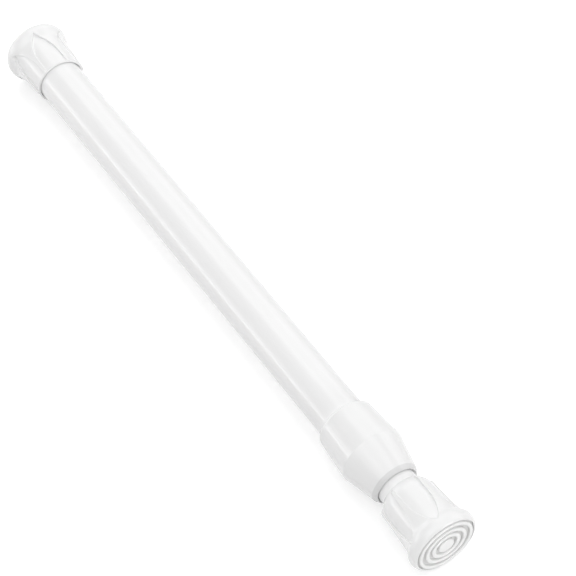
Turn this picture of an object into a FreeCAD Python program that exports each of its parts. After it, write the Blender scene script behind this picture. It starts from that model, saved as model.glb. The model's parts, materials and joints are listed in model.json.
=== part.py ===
import FreeCAD, Part

import math
import os

# Spring tension rod for a curtain, shown pushed together. Millimetres.
# The rod lies along +X as it hangs between two walls. The origin is the centre of the fixed
# end's pad face, and the telescoping end points to +X. Angles round the rod run from +Y to +Z.

# Whole rod, pushed together, from one pad face to the other
ROD_LENGTH = 250.9

# Tubes
OUTER_TUBE_RADIUS = 8.0
OUTER_TUBE_WALL = 0.6
INNER_TUBE_RADIUS = 6.5
INNER_TUBE_WALL = 0.6

# Clearances
SEAT_GAP = 0.05          # glued or pressed seat, on the radius
RUNNING_GAP = 0.10       # sliding or turning fit, on the radius
END_PLAY = 0.15          # at each end of a ring that turns between two shoulders
REST_GAP = 0.30          # between loose faces that meet under the spring

# End caps, measured along the rod from the pad face
PETALS = 6
FIRST_PETAL = 36.0       # angle of one petal's middle
LIP_RADIUS = 10.5        # front edge of the rim
LIP_SETBACK = 0.35       # rim stands this far behind the pad face
BROW_RADIUS = 11.15      # on the rim's rounded front
BROW_AT = 1.05
RIM_RADIUS = 11.5
RIM_AT = 2.5
HEEL_RADIUS = 11.32      # on the rim's rounded back
HEEL_AT = 3.8
FLARE_RADIUS = 10.75     # where the rim turns into the concave flare
FLARE_AT = 4.85
WAIST_RADIUS = 10.25     # on the flare
WAIST_AT = 5.75
NECK_RADIUS = 9.98       # end of the flare
NECK_AT = 7.5
RIB_MOUTH_RADIUS = 9.35
FIXED_CAP_LENGTH = 20.2
FIXED_MOUTH_WALL = 0.2
FIXED_RIB_END = 1.0      # rounded ends of the fixed cap's ribs
FIXED_FLOOR_END = 0.5    # rounded ends of its recesses
LEAD_IN = 0.2            # widening of the fixed cap's socket at its mouth
LEAD_IN_DEPTH = 0.5
MOVING_CAP_LENGTH = 22.5
MOVING_MOUTH_WALL = 0.25
MOVING_BEVEL = 2.1       # length of the bevel at the rib ends of the moving cap
WEB_FRONT = 2.6          # web between the pad's seat and the tube's socket
WEB_THICKNESS = 2.0
PEG_HOLE_RADIUS = 2.6

# Leaf-shaped recesses between the ribs
PETAL_TIP = 3.8
PETAL_SHOULDER = 14.5    # where the sides stop being straight
PETAL_HALF_WIDTH = 4.0
FLOOR_TIP_RADIUS = 9.75
FLOOR_NECK_RADIUS = 9.15
FLOOR_MOUTH_RADIUS = 8.8
SHOULDER_LENGTH = 4.8    # rounded shoulder of the moving cap's recesses

# Rubber pads
PAD_RADIUS = 9.6
PAD_GAP = 0.6            # ring-shaped groove between the ridged face and the rim
PAD_BASE_DEPTH = 1.0     # grooves reach down to the base, which fills the cap's recess
RIDGE_EDGES = [(2.7, 3.8), (5.1, 6.1), (7.3, 8.5)]
PEG_HEAD_OVER = 0.45
PEG_HEAD_LENGTH = 1.3

# Plugs inside the tube ends
PLUG_LENGTH = 13.4
PLUG_WALL = 1.5
PLUG_FLOOR = 3.0
PLUG_RECESS_DEPTH = 2.4

# Collar on the outer tube's mouth
COLLAR_LENGTH = 28.1
COLLAR_TO_CAP = 2.7      # bare inner tube between collar and moving cap
COLLAR_START_RADIUS = 9.05
COLLAR_STEP_RADIUS = 9.65
COLLAR_STEP = 1.3
RIDGE_RADIUS = 10.8
RIDGE_FROM_START = 15.0
NOSE_RADIUS = 8.15       # where the front cone turns into the bevelled nose
NOSE_LENGTH = 1.5
NOSE_WALL = 0.1          # flat edge left at the mouth
MOUTH_SINK = 0.5         # countersink inside the mouth, as deep as it is wide
MOUTH_LAND = 1.5         # narrow bore behind the countersink, which wipes the inner tube
RELIEF_GAP = 0.65        # wider bore behind that, off the inner tube

# Guide bush in the outer tube's mouth
BUSH_FLANGE = 1.5
GUIDE_BUSH_LENGTH = 10.0
FLANGE_TO_MOUTH = 8.2

# Twist lock at the inner end
LOCK_START = 5.4         # free room between the fixed plug and the lock's screw
SCREW_HEAD_RADIUS = 2.6
SCREW_HEAD_LENGTH = 1.8
SCREW_RADIUS = 1.45
SCREW_LENGTH = 7.5
SCREW_SLOT = 0.7
WASHER_THICKNESS = 0.8
SHOULDER_RADIUS = 4.9    # washer and spindle flange on each side of the ring
SHOULDER_THICKNESS = 2.0
LOCK_RING_LENGTH = 8.2
LOCK_RING_CLEARANCE = 0.9
LOCK_SLIT = 1.0
GRIP_BANDS = 4           # bands of the lock ring, with a groove between each two
GRIP_GROOVE_DEPTH = 0.3
CAM_RADIUS = 3.9
CAM_OFFSET = 0.5

# Spindle and spring
SPRING_TRAVEL = 22.0
TRAVEL_SPARE = 0.5
SHAFT_RADIUS = 2.9
SHAFT_FLAT = 2.4         # two flats key the shaft to its bush
TAIL_RADIUS = 1.9
CLIP_RADIUS = 3.1
CLIP_THICKNESS = 0.6
CLIP_GROOVE = 0.5
CLIP_MOUTH = 2.4
TAIL_END = 1.4
SEAT_RADIUS = 5.4
SEAT_THICKNESS = 2.0
SPIGOT_RADIUS = 3.5
SPIGOT_LENGTH = 4.0
SPRING_LENGTH = 92.0
SPRING_RADIUS = 4.5      # middle of the wire
WIRE_RADIUS = 0.55
SPRING_TURNS = 13
STOP_THICKNESS = 6.0

# End bush of the inner tube, with its glide ring
BUSH_LIP_RADIUS = 6.1
BUSH_LIP = 1.0
JOURNAL_RADIUS = 5.6
GLIDE_RING_LENGTH = 6.0
GLIDE_SLIT = 0.8
END_FLANGE = 2.0
END_BUSH_DEPTH = 12.0
PIN_RADIUS = 0.8
PIN_LENGTH = 2.4
PIN_SINK = 0.08          # pins stay this far under the inner tube's surface

# Bulge of an arc off its chord, as a share of the chord's length
QUARTER_ROUND = 0.2
SHOULDER_BULGE = 0.1
STEP_BULGE = 0.15
CONE_HOLLOW = -0.01

# Points closer than this are one point of an outline
SAME_POINT = 1e-6

# Places that follow from the sizes
OUTER_BORE = OUTER_TUBE_RADIUS - OUTER_TUBE_WALL
INNER_BORE = INNER_TUBE_RADIUS - INNER_TUBE_WALL
SOCKET_BOTTOM = WEB_FRONT + WEB_THICKNESS
COLLAR_MOUTH_X = ROD_LENGTH - MOVING_CAP_LENGTH - COLLAR_TO_CAP
COLLAR_START_X = COLLAR_MOUTH_X - COLLAR_LENGTH
BUSH_FLANGE_X = COLLAR_MOUTH_X - FLANGE_TO_MOUTH - BUSH_FLANGE
MOUTH_BORE = INNER_TUBE_RADIUS + RUNNING_GAP
MOUTH_EDGE_RADIUS = MOUTH_BORE + MOUTH_SINK + NOSE_WALL
LOCK_RING_RADIUS = OUTER_BORE - LOCK_RING_CLEARANCE
SCREW_X = SOCKET_BOTTOM + PLUG_LENGTH + LOCK_START
WASHER_X = SCREW_X + SCREW_HEAD_LENGTH
CAM_X = WASHER_X + WASHER_THICKNESS
CAM_LENGTH = LOCK_RING_LENGTH + 2 * END_PLAY
SHOULDER_X = CAM_X + CAM_LENGTH
SHAFT_X = SHOULDER_X + SHOULDER_THICKNESS
BUSH_LIP_X = SHAFT_X + SPRING_TRAVEL + TRAVEL_SPARE
JOURNAL_X = BUSH_LIP_X + BUSH_LIP
JOURNAL_LENGTH = GLIDE_RING_LENGTH + 2 * END_PLAY
END_FLANGE_X = JOURNAL_X + JOURNAL_LENGTH
INNER_TUBE_X = END_FLANGE_X + END_FLANGE
SEAT_X = INNER_TUBE_X + END_BUSH_DEPTH + REST_GAP
SPRING_X = SEAT_X + SEAT_THICKNESS
STOP_X = SPRING_X + SPRING_LENGTH
TAIL_LENGTH = SEAT_THICKNESS + SPIGOT_LENGTH + CLIP_THICKNESS + 2 * SEAT_GAP + TAIL_END

ORIGIN = FreeCAD.Vector(0, 0, 0)
ALONG = FreeCAD.Vector(1, 0, 0)
UP = FreeCAD.Vector(0, 0, 1)


def point(x, y, z=0.0):
    return FreeCAD.Vector(x, y, z)


def outline(start, *steps):
    """Closed wire in the XY plane. A step is a point for a line, or a middle and an end for an arc."""
    edges = []
    here = point(*start)
    for step in steps:
        if isinstance(step[0], tuple):
            middle, end = point(*step[0]), point(*step[1])
            edges.append(Part.Arc(here, middle, end).toShape())
        else:
            end = point(*step)
            edges.append(Part.LineSegment(here, end).toShape())
        here = end
    if not here.isEqual(point(*start), SAME_POINT):
        edges.append(Part.LineSegment(here, point(*start)).toShape())
    return Part.Wire(edges)


def turned(start, *steps):
    """Solid turned about the rod's axis from points (place along the rod, radius)."""
    return Part.Face(outline(start, *steps)).revolve(ORIGIN, ALONG, 360)


def bulged(start, end, bulge):
    """Arc step from start to end. It bulges away from the rod's axis, or towards it if negative."""
    middle_x = (start[0] + end[0]) / 2 + bulge * (start[1] - end[1])
    middle_radius = (start[1] + end[1]) / 2 + bulge * (end[0] - start[0])
    return (middle_x, middle_radius), end


def bar(radius, start, length, z=0.0):
    return Part.makeCylinder(radius, length, point(start, 0, z), ALONG)


def ring(outer, inner, start, length):
    return bar(outer, start, length).cut(bar(inner, start, length))


def box(size, corner):
    return Part.makeBox(size[0], size[1], size[2], point(*corner))


def around_rod(shape, angle):
    copy = shape.copy()
    copy.rotate(ORIGIN, ALONG, angle)
    return copy


def at_moving_end(shape):
    """Turns a piece drawn from the fixed pad's face round to the moving end."""
    copy = shape.copy()
    copy.rotate(ORIGIN, UP, 180)
    copy.translate(point(ROD_LENGTH, 0))
    return copy


def petal_outline(cap_length):
    """Pointed arch: straight sides from the mouth, then arcs tangent to them that meet at the tip."""
    reach = PETAL_SHOULDER - PETAL_TIP
    arc_radius = (reach ** 2 + PETAL_HALF_WIDTH ** 2) / (2 * PETAL_HALF_WIDTH)
    half_turn = math.asin(reach / arc_radius) / 2
    middle_x = PETAL_SHOULDER - arc_radius * math.sin(half_turn)
    middle_y = PETAL_HALF_WIDTH - arc_radius * (1 - math.cos(half_turn))
    beyond = cap_length + WEB_THICKNESS
    return outline((PETAL_TIP, 0),
                   ((middle_x, middle_y), (PETAL_SHOULDER, PETAL_HALF_WIDTH)),
                   (beyond, PETAL_HALF_WIDTH),
                   (beyond, -PETAL_HALF_WIDTH),
                   (PETAL_SHOULDER, -PETAL_HALF_WIDTH),
                   ((middle_x, -middle_y), (PETAL_TIP, 0)))


def cut_petals(bell, floor, cap_length, first_angle):
    """Leaf-shaped recesses down to the turned floor, which leave the ribs standing between them."""
    arch = Part.Face(petal_outline(cap_length)).extrude(UP * (RIM_RADIUS + WEB_THICKNESS))
    leaf = arch.cut(floor)
    for number in range(PETALS):
        bell = bell.cut(around_rod(leaf, first_angle - 90 + number * 360 / PETALS))
    return bell


def rim_steps():
    """Rounded rim and concave flare, from the front lip to the neck."""
    return [((BROW_AT, BROW_RADIUS), (RIM_AT, RIM_RADIUS)),
            ((HEEL_AT, HEEL_RADIUS), (FLARE_AT, FLARE_RADIUS)),
            ((WAIST_AT, WAIST_RADIUS), (NECK_AT, NECK_RADIUS))]


def bell_body(rib_end, *mouth_steps):
    """Solid bell of an end cap before its recesses, from the front lip to the mouth."""
    return turned((LIP_SETBACK, 0), (LIP_SETBACK, LIP_RADIUS), *rim_steps(), rib_end, *mouth_steps)


def petal_floor(floor_end, mouth_step, mouth_x):
    """Turned body whose surface is the floor of the recesses."""
    return turned((0, 0), (0, FLOOR_TIP_RADIUS), (PETAL_TIP, FLOOR_TIP_RADIUS),
                  (NECK_AT, FLOOR_NECK_RADIUS), floor_end, mouth_step, (mouth_x, 0))


def pad_seat():
    """Round recess for the pad, and the hole for its peg."""
    recess = bar(PAD_RADIUS + PAD_GAP, 0, WEB_FRONT)
    return recess.fuse(bar(PEG_HOLE_RADIUS, 0, SOCKET_BOTTOM))


def fixed_end_cap():
    socket_radius = OUTER_TUBE_RADIUS + SEAT_GAP
    mouth = (FIXED_CAP_LENGTH, socket_radius + LEAD_IN + FIXED_MOUTH_WALL)
    rib_end = (FIXED_CAP_LENGTH - FIXED_RIB_END, RIB_MOUTH_RADIUS)
    floor_end = (FIXED_CAP_LENGTH - FIXED_FLOOR_END, FLOOR_MOUTH_RADIUS)
    bell = bell_body(rib_end, bulged(rib_end, mouth, QUARTER_ROUND), (FIXED_CAP_LENGTH, 0))
    floor = petal_floor(floor_end, bulged(floor_end, mouth, QUARTER_ROUND), FIXED_CAP_LENGTH)
    bell = cut_petals(bell, floor, FIXED_CAP_LENGTH, FIRST_PETAL)
    socket = turned((SOCKET_BOTTOM, 0), (SOCKET_BOTTOM, socket_radius),
                    (FIXED_CAP_LENGTH - LEAD_IN_DEPTH, socket_radius),
                    (FIXED_CAP_LENGTH, socket_radius + LEAD_IN), (FIXED_CAP_LENGTH, 0))
    return bell.cut(socket).cut(pad_seat())


def moving_end_cap():
    socket_radius = INNER_TUBE_RADIUS + SEAT_GAP
    mouth = (MOVING_CAP_LENGTH, socket_radius + MOVING_MOUTH_WALL)
    rib_end = (MOVING_CAP_LENGTH - MOVING_BEVEL, RIB_MOUTH_RADIUS)
    floor_end = (MOVING_CAP_LENGTH - SHOULDER_LENGTH, FLOOR_MOUTH_RADIUS)
    bell = bell_body(rib_end, mouth, (MOVING_CAP_LENGTH, 0))
    floor = petal_floor(floor_end, bulged(floor_end, mouth, SHOULDER_BULGE), MOVING_CAP_LENGTH)
    bell = cut_petals(bell, floor, MOVING_CAP_LENGTH, 180 - FIRST_PETAL)
    socket = bar(socket_radius, SOCKET_BOTTOM, MOVING_CAP_LENGTH)
    return at_moving_end(bell.cut(socket).cut(pad_seat()))


def pad():
    """Rubber pad: concentric ridges, and a peg that snaps through the cap's web."""
    base = bar(PAD_RADIUS + PAD_GAP - SEAT_GAP, PAD_BASE_DEPTH, WEB_FRONT - PAD_BASE_DEPTH)
    disc = bar(PAD_RADIUS, 0, WEB_FRONT).fuse(base)
    for inner, outer in RIDGE_EDGES:
        disc = disc.cut(ring(outer, inner, 0, PAD_BASE_DEPTH))
    peg_radius = PEG_HOLE_RADIUS - SEAT_GAP
    head_end = SOCKET_BOTTOM + PEG_HEAD_LENGTH
    peg = turned((WEB_FRONT, 0), (WEB_FRONT, peg_radius), (SOCKET_BOTTOM, peg_radius),
                 (SOCKET_BOTTOM, peg_radius + PEG_HEAD_OVER), (head_end, peg_radius - PEG_HEAD_OVER),
                 (head_end, 0))
    return disc.fuse(peg).removeSplitter()


def tube_plug(bore):
    """Thimble that keeps a thin tube end round, with room for the pad's peg."""
    radius = bore - SEAT_GAP
    body = bar(radius, SOCKET_BOTTOM, PLUG_LENGTH)
    recess = bar(PEG_HOLE_RADIUS + PEG_HEAD_OVER + REST_GAP, SOCKET_BOTTOM, PLUG_RECESS_DEPTH)
    hollow_start = SOCKET_BOTTOM + PLUG_RECESS_DEPTH + PLUG_FLOOR
    hollow = bar(radius - PLUG_WALL, hollow_start, PLUG_LENGTH)
    return body.cut(recess).cut(hollow)


def outer_tube():
    return ring(OUTER_TUBE_RADIUS, OUTER_BORE, SOCKET_BOTTOM, BUSH_FLANGE_X - SOCKET_BOTTOM)


def pin_hole_x():
    return INNER_TUBE_X + END_BUSH_DEPTH / 2


def pin_pair(radius, start, length):
    """Two round bars across the rod, one above and one below its axis."""
    upper = Part.makeCylinder(radius, length, point(pin_hole_x(), 0, start), UP)
    return [upper, around_rod(upper, 180)]


def inner_tube():
    length = ROD_LENGTH - SOCKET_BOTTOM - INNER_TUBE_X
    tube = ring(INNER_TUBE_RADIUS, INNER_BORE, INNER_TUBE_X, length)
    return tube.cut(pin_pair(PIN_RADIUS + SEAT_GAP, INNER_BORE - INNER_TUBE_WALL, 3 * INNER_TUBE_WALL))


def bush_pins():
    end = INNER_TUBE_RADIUS - PIN_SINK
    return Part.makeCompound(pin_pair(PIN_RADIUS, end - PIN_LENGTH, PIN_LENGTH))


def collar():
    """Cone up to a ridge, then a steeper hollow cone down to a bevelled nose."""
    back = (COLLAR_START_X, COLLAR_START_RADIUS)
    step = (COLLAR_START_X + COLLAR_STEP, COLLAR_STEP_RADIUS)
    ridge = (COLLAR_START_X + RIDGE_FROM_START, RIDGE_RADIUS)
    nose = (COLLAR_MOUTH_X - NOSE_LENGTH, NOSE_RADIUS)
    body = turned((COLLAR_START_X, 0), back, bulged(back, step, STEP_BULGE), ridge,
                  bulged(ridge, nose, CONE_HOLLOW), (COLLAR_MOUTH_X, MOUTH_EDGE_RADIUS),
                  (COLLAR_MOUTH_X, 0))
    return body.cut(collar_hollow())


def collar_hollow():
    """Seat on the outer tube and bush, relief, wiping land and countersunk mouth."""
    seat = OUTER_TUBE_RADIUS + SEAT_GAP
    relief = INNER_TUBE_RADIUS + RELIEF_GAP
    seat_end = BUSH_FLANGE_X + BUSH_FLANGE
    sink_x = COLLAR_MOUTH_X - MOUTH_SINK
    land_x = sink_x - MOUTH_LAND
    return turned((COLLAR_START_X, 0), (COLLAR_START_X, seat), (seat_end, seat), (seat_end, relief),
                  (land_x, relief), (land_x, MOUTH_BORE), (sink_x, MOUTH_BORE),
                  (COLLAR_MOUTH_X, MOUTH_BORE + MOUTH_SINK), (COLLAR_MOUTH_X, 0))


def guide_bush():
    """Flanged bush that the inner tube slides in; the collar holds its flange on the tube's end."""
    start = BUSH_FLANGE_X - GUIDE_BUSH_LENGTH
    body = bar(OUTER_BORE - SEAT_GAP, start, GUIDE_BUSH_LENGTH + BUSH_FLANGE)
    flange = bar(OUTER_TUBE_RADIUS, BUSH_FLANGE_X, BUSH_FLANGE)
    bore = bar(INNER_TUBE_RADIUS + RUNNING_GAP, start, GUIDE_BUSH_LENGTH + BUSH_FLANGE)
    return body.fuse(flange).cut(bore).removeSplitter()


def keyed_bar(radius, flat, start, length):
    """Round bar with two flats."""
    body = bar(radius, start, length)
    return body.common(box((length, 2 * radius, 2 * flat), (start, -radius, -flat)))


def end_bush():
    """Bush in the inner tube's end: journal for the glide ring outside, keyed hole for the spindle."""
    end = INNER_TUBE_X + END_BUSH_DEPTH
    body = turned((BUSH_LIP_X, 0), (BUSH_LIP_X, BUSH_LIP_RADIUS), (JOURNAL_X, BUSH_LIP_RADIUS),
                  (JOURNAL_X, JOURNAL_RADIUS), (END_FLANGE_X, JOURNAL_RADIUS),
                  (END_FLANGE_X, INNER_TUBE_RADIUS), (INNER_TUBE_X, INNER_TUBE_RADIUS),
                  (INNER_TUBE_X, INNER_BORE - SEAT_GAP), (end, INNER_BORE - SEAT_GAP), (end, 0))
    key = keyed_bar(SHAFT_RADIUS + RUNNING_GAP, SHAFT_FLAT + RUNNING_GAP, BUSH_LIP_X, end - BUSH_LIP_X)
    pin_start = INNER_TUBE_RADIUS - PIN_SINK - PIN_LENGTH
    return body.cut(key).cut(pin_pair(PIN_RADIUS + SEAT_GAP, pin_start, PIN_LENGTH))


def glide_ring():
    """Split ring that carries the inner tube's end in the outer tube and does not turn with it."""
    start = JOURNAL_X + END_PLAY
    outer = OUTER_BORE - RUNNING_GAP
    body = ring(outer, JOURNAL_RADIUS + RUNNING_GAP, start, GLIDE_RING_LENGTH)
    return body.cut(box((GLIDE_RING_LENGTH, GLIDE_SLIT, outer), (start, -GLIDE_SLIT / 2, 0)))


def spindle():
    """Keyed shaft with the eccentric cam and flange at one end and a turned-down tail at the other."""
    cam = bar(CAM_RADIUS, CAM_X, CAM_LENGTH, CAM_OFFSET)
    flange = bar(SHOULDER_RADIUS, SHOULDER_X, SHOULDER_THICKNESS)
    shaft = keyed_bar(SHAFT_RADIUS, SHAFT_FLAT, SHAFT_X, SEAT_X - SHAFT_X)
    tail = bar(TAIL_RADIUS, SEAT_X, TAIL_LENGTH)
    groove = ring(TAIL_RADIUS, TAIL_RADIUS - CLIP_GROOVE, clip_x() - SEAT_GAP,
                  CLIP_THICKNESS + 2 * SEAT_GAP)
    screw_hole = bar(SCREW_RADIUS + SEAT_GAP, CAM_X, SCREW_LENGTH)
    return cam.fuse([flange, shaft, tail]).removeSplitter().cut(groove).cut(screw_hole)


def clip_x():
    return SEAT_X + SEAT_THICKNESS + SPIGOT_LENGTH + SEAT_GAP


def seat_clip():
    """Open clip in the tail's groove that keeps the spring seat on the spindle."""
    body = ring(CLIP_RADIUS, TAIL_RADIUS - CLIP_GROOVE + SEAT_GAP, clip_x(), CLIP_THICKNESS)
    mouth = box((CLIP_THICKNESS, CLIP_MOUTH, CLIP_RADIUS), (clip_x(), -CLIP_MOUTH / 2, -CLIP_RADIUS))
    return body.cut(mouth)


def spring_seat():
    body = bar(SEAT_RADIUS, SEAT_X, SEAT_THICKNESS)
    spigot = bar(SPIGOT_RADIUS, SPRING_X, SPIGOT_LENGTH)
    bore = bar(TAIL_RADIUS + SEAT_GAP, SEAT_X, SEAT_THICKNESS + SPIGOT_LENGTH)
    return body.fuse(spigot).removeSplitter().cut(bore)


def spring_stop():
    body = bar(INNER_BORE - SEAT_GAP, STOP_X, STOP_THICKNESS)
    spigot = bar(SPIGOT_RADIUS, STOP_X - SPIGOT_LENGTH, SPIGOT_LENGTH)
    return body.fuse(spigot).removeSplitter()


def spring():
    """Long compression spring between the spindle's seat and the stop."""
    height = SPRING_LENGTH - 2 * WIRE_RADIUS - 2 * SEAT_GAP
    path = Part.makeHelix(height / SPRING_TURNS, height, SPRING_RADIUS)
    rise = math.atan2(height / SPRING_TURNS, 2 * math.pi * SPRING_RADIUS)
    along_wire = point(0, math.cos(rise), math.sin(rise))
    section = Part.Wire(Part.makeCircle(WIRE_RADIUS, point(SPRING_RADIUS, 0), along_wire))
    wire = Part.Wire(path).makePipeShell([section], True, True)
    wire.rotate(ORIGIN, point(0, 1, 0), 90)
    wire.translate(point(SPRING_X + WIRE_RADIUS + SEAT_GAP, 0))
    return wire


def lock_ring():
    """Split friction ring: its bore is off centre by as much as the cam, so it lies centred at rest."""
    start = CAM_X + END_PLAY
    body = bar(LOCK_RING_RADIUS, start, LOCK_RING_LENGTH)
    body = body.cut(bar(CAM_RADIUS + RUNNING_GAP / 2, start, LOCK_RING_LENGTH, CAM_OFFSET))
    for number in range(1, GRIP_BANDS):
        groove_x = start + number * LOCK_RING_LENGTH / GRIP_BANDS - GRIP_GROOVE_DEPTH
        body = body.cut(ring(LOCK_RING_RADIUS, LOCK_RING_RADIUS - GRIP_GROOVE_DEPTH, groove_x,
                             2 * GRIP_GROOVE_DEPTH))
    return body.cut(box((LOCK_RING_LENGTH, LOCK_SLIT, LOCK_RING_RADIUS), (start, -LOCK_SLIT / 2, 0)))


def cam_washer():
    return ring(SHOULDER_RADIUS, SCREW_RADIUS + SEAT_GAP, WASHER_X, WASHER_THICKNESS)


def cam_screw():
    head = bar(SCREW_HEAD_RADIUS, SCREW_X, SCREW_HEAD_LENGTH)
    shank = bar(SCREW_RADIUS, WASHER_X, WASHER_THICKNESS + SCREW_LENGTH - SEAT_GAP)
    body = head.fuse(shank).removeSplitter()
    half = SCREW_HEAD_RADIUS - SCREW_SLOT
    depth = SCREW_HEAD_LENGTH / 2
    slot = box((depth, 2 * half, SCREW_SLOT), (SCREW_X, -half, -SCREW_SLOT / 2))
    return body.cut([slot, around_rod(slot, 90)])


def make_parts():
    return {
        "outer_tube": outer_tube(),
        "fixed_end_cap": fixed_end_cap(),
        "fixed_end_pad": pad(),
        "fixed_end_plug": tube_plug(OUTER_BORE),
        "collar": collar(),
        "guide_bush": guide_bush(),
        "glide_ring": glide_ring(),
        "inner_tube": inner_tube(),
        "end_bush": end_bush(),
        "bush_pins": bush_pins(),
        "moving_end_cap": moving_end_cap(),
        "moving_end_pad": at_moving_end(pad()),
        "moving_end_plug": at_moving_end(tube_plug(INNER_BORE)),
        "spring": spring(),
        "spring_stop": spring_stop(),
        "spring_seat": spring_seat(),
        "seat_clip": seat_clip(),
        "spindle": spindle(),
        "lock_ring": lock_ring(),
        "cam_washer": cam_washer(),
        "cam_screw": cam_screw(),
    }


os.makedirs("parts", exist_ok=True)
for name, shape in make_parts().items():
    shape.exportStep("parts/" + name + ".step")
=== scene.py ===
import json
import math

import bmesh
import bpy
from mathutils import Matrix, Vector


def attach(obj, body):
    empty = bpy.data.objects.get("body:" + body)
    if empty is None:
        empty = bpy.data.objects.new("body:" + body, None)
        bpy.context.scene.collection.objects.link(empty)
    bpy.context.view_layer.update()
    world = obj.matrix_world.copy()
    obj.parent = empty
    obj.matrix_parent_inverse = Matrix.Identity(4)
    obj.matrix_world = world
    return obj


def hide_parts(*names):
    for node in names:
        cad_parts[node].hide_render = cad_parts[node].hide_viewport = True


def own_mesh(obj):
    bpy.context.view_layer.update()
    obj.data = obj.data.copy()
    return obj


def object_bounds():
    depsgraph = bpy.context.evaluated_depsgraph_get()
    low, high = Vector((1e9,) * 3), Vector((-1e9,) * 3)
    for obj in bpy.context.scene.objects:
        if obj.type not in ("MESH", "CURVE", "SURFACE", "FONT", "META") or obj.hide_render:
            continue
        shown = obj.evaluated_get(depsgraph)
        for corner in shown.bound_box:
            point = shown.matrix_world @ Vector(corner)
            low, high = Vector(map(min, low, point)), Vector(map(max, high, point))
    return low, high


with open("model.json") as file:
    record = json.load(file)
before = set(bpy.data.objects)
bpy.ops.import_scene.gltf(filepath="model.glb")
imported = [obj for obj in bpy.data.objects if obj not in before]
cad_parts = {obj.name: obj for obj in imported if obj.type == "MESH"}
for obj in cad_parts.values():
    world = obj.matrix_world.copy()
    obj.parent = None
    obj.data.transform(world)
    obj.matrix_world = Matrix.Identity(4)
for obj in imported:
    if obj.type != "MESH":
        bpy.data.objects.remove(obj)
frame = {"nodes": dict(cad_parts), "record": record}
cad_low, cad_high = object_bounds()

# Spring tension rod, dressed for its picture. The sizes below are in millimetres, as in the
# part's source, and meshes are in metres. The rod lies along +X with its fixed end at the origin.
MM = 0.001

# Whole rod and its tubes
ROD_LENGTH = 250.9
OUTER_TUBE = 8.0
INNER_TUBE = 6.5
TUBE_WALL = 0.6
SOCKET_BOTTOM = 4.6
OUTER_TUBE_END = 216.0
INNER_TUBE_START = 68.3
PIN_PLACE = 74.3
PIN_HOLE = 0.85
SEAT_GAP = 0.05
TUBE_EDGE = 0.12            # rounding of the cut tube ends

# End caps, from the pad face inwards
PETALS = 6
FIRST_PETAL = 36.0
LIP_PLACE = 0.35
BELL_LINE = [(LIP_PLACE, 10.5), (1.05, 11.15), (2.5, 11.5), (3.8, 11.32), (4.85, 10.75), (5.75, 10.25),
             (7.5, 9.98)]
NECK_END = 7.5
RIB_MOUTH = 9.35
PETAL_TIP = 3.8
PETAL_SHOULDER = 14.5
PETAL_HALF_WIDTH = 4.0
FLOOR_LINE = [(3.8, 9.75), (7.5, 9.15)]
FLOOR_MOUTH = 8.8
FIXED_CAP = 20.2
FIXED_RIB_LINE = [(11.0, 9.792), (15.0, 9.576)]
FIXED_FLOOR_PLACE = (12.0, 9.02)
FIXED_RIB_END = 1.0
FIXED_FLOOR_END = 0.5
FIXED_MOUTH_WALL = 0.2
LEAD_IN = 0.2
LEAD_IN_DEPTH = 0.5
MOVING_CAP = 22.5
MOVING_RIB_LINE = [(11.5, 9.785), (16.0, 9.565)]
MOVING_FLOOR_PLACE = (12.5, 8.98)
MOVING_BEVEL = 2.1
MOVING_SHOULDER = 4.8
MOVING_MOUTH_WALL = 0.25
QUARTER_ROUND = 0.2         # bulge of an arc off its chord, as a share of the chord
SHOULDER_BULGE = 0.1
BEVEL_EDGE = 0.4            # rounding of the bevel's upper edge
WEB_FRONT = 2.6
PEG_HOLE = 2.6
PETAL_EDGE = 0.28           # rounding where a recess meets a rib
PETAL_FILLET = 0.16         # fillet at the foot of a recess's wall
RECESS_EDGE = 0.15          # rounding of the pad recess's front edge
RECESS_EDGE_MIDDLE = 0.044  # how far in from both faces that rounding's middle lies

# Rubber pads
PAD = 9.6
PAD_GAP = 0.6
GROOVES = [(2.7, 3.8), (5.1, 6.1), (7.3, 8.5)]
GROOVE_DEPTH = 1.0
PAD_EDGE = 0.3
PEG_HEAD = 3.0
PEG_TIP = 2.1
PEG_END = 5.9

# Collar
COLLAR_START = 197.6
COLLAR_END = 225.7
FLANGE_END = 217.5
MOUTH_BORE = 6.6
MOUTH_SINK = 0.5            # countersink inside the mouth
MOUTH_LAND = 1.5            # narrow bore behind it
RELIEF = 7.15               # wider bore behind that
STEP_LENGTH = 1.3
COLLAR_BACK, COLLAR_STEP = 9.05, 9.65
RIDGE_PLACE = 212.6
RIDGE = 10.8
NOSE = 8.15
NOSE_LENGTH = 1.5
NOSE_WALL = 0.1
STEP_BULGE = 0.15
CONE_HOLLOW = -0.01
RIDGE_ROUND = 0.6
NOSE_ROUND = 0.5
LIP_EDGE = 0.09             # rounding of the mouth's lip
BORE_EDGE = 0.1

# Spring between the spindle's seat and the stop
SPRING_START = 82.6
SPRING_LENGTH = 92.0
SPRING_RADIUS = 4.5
SPRING_TURNS = 13
WIRE = 0.55
STEPS_A_TURN, WIRE_SIDES = 40, 16


# ---- profiles ----

def arc(first, middle, last, steps):
    """Points of the circular arc through three points, both ends included."""
    a, b, c = Vector(first), Vector(middle), Vector(last)
    chord_one, chord_two = b - a, c - a
    cross = 2 * (chord_one.x * chord_two.y - chord_one.y * chord_two.x)
    one, two = chord_one.length_squared, chord_two.length_squared
    to_centre = Vector((chord_two.y * one - chord_one.y * two, chord_one.x * two - chord_two.x * one))
    centre = a + to_centre / cross
    start = math.atan2(*(a - centre).yx)
    turn = math.atan2(*(c - centre).yx) - start
    through = math.atan2(*(b - centre).yx) - start
    turn_left = turn % math.tau
    if not 0 < through % math.tau < turn_left:
        turn_left -= math.tau
    radius = (a - centre).length
    angles = [start + turn_left * step / steps for step in range(steps + 1)]
    return [(centre.x + radius * math.cos(t), centre.y + radius * math.sin(t)) for t in angles]


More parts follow.
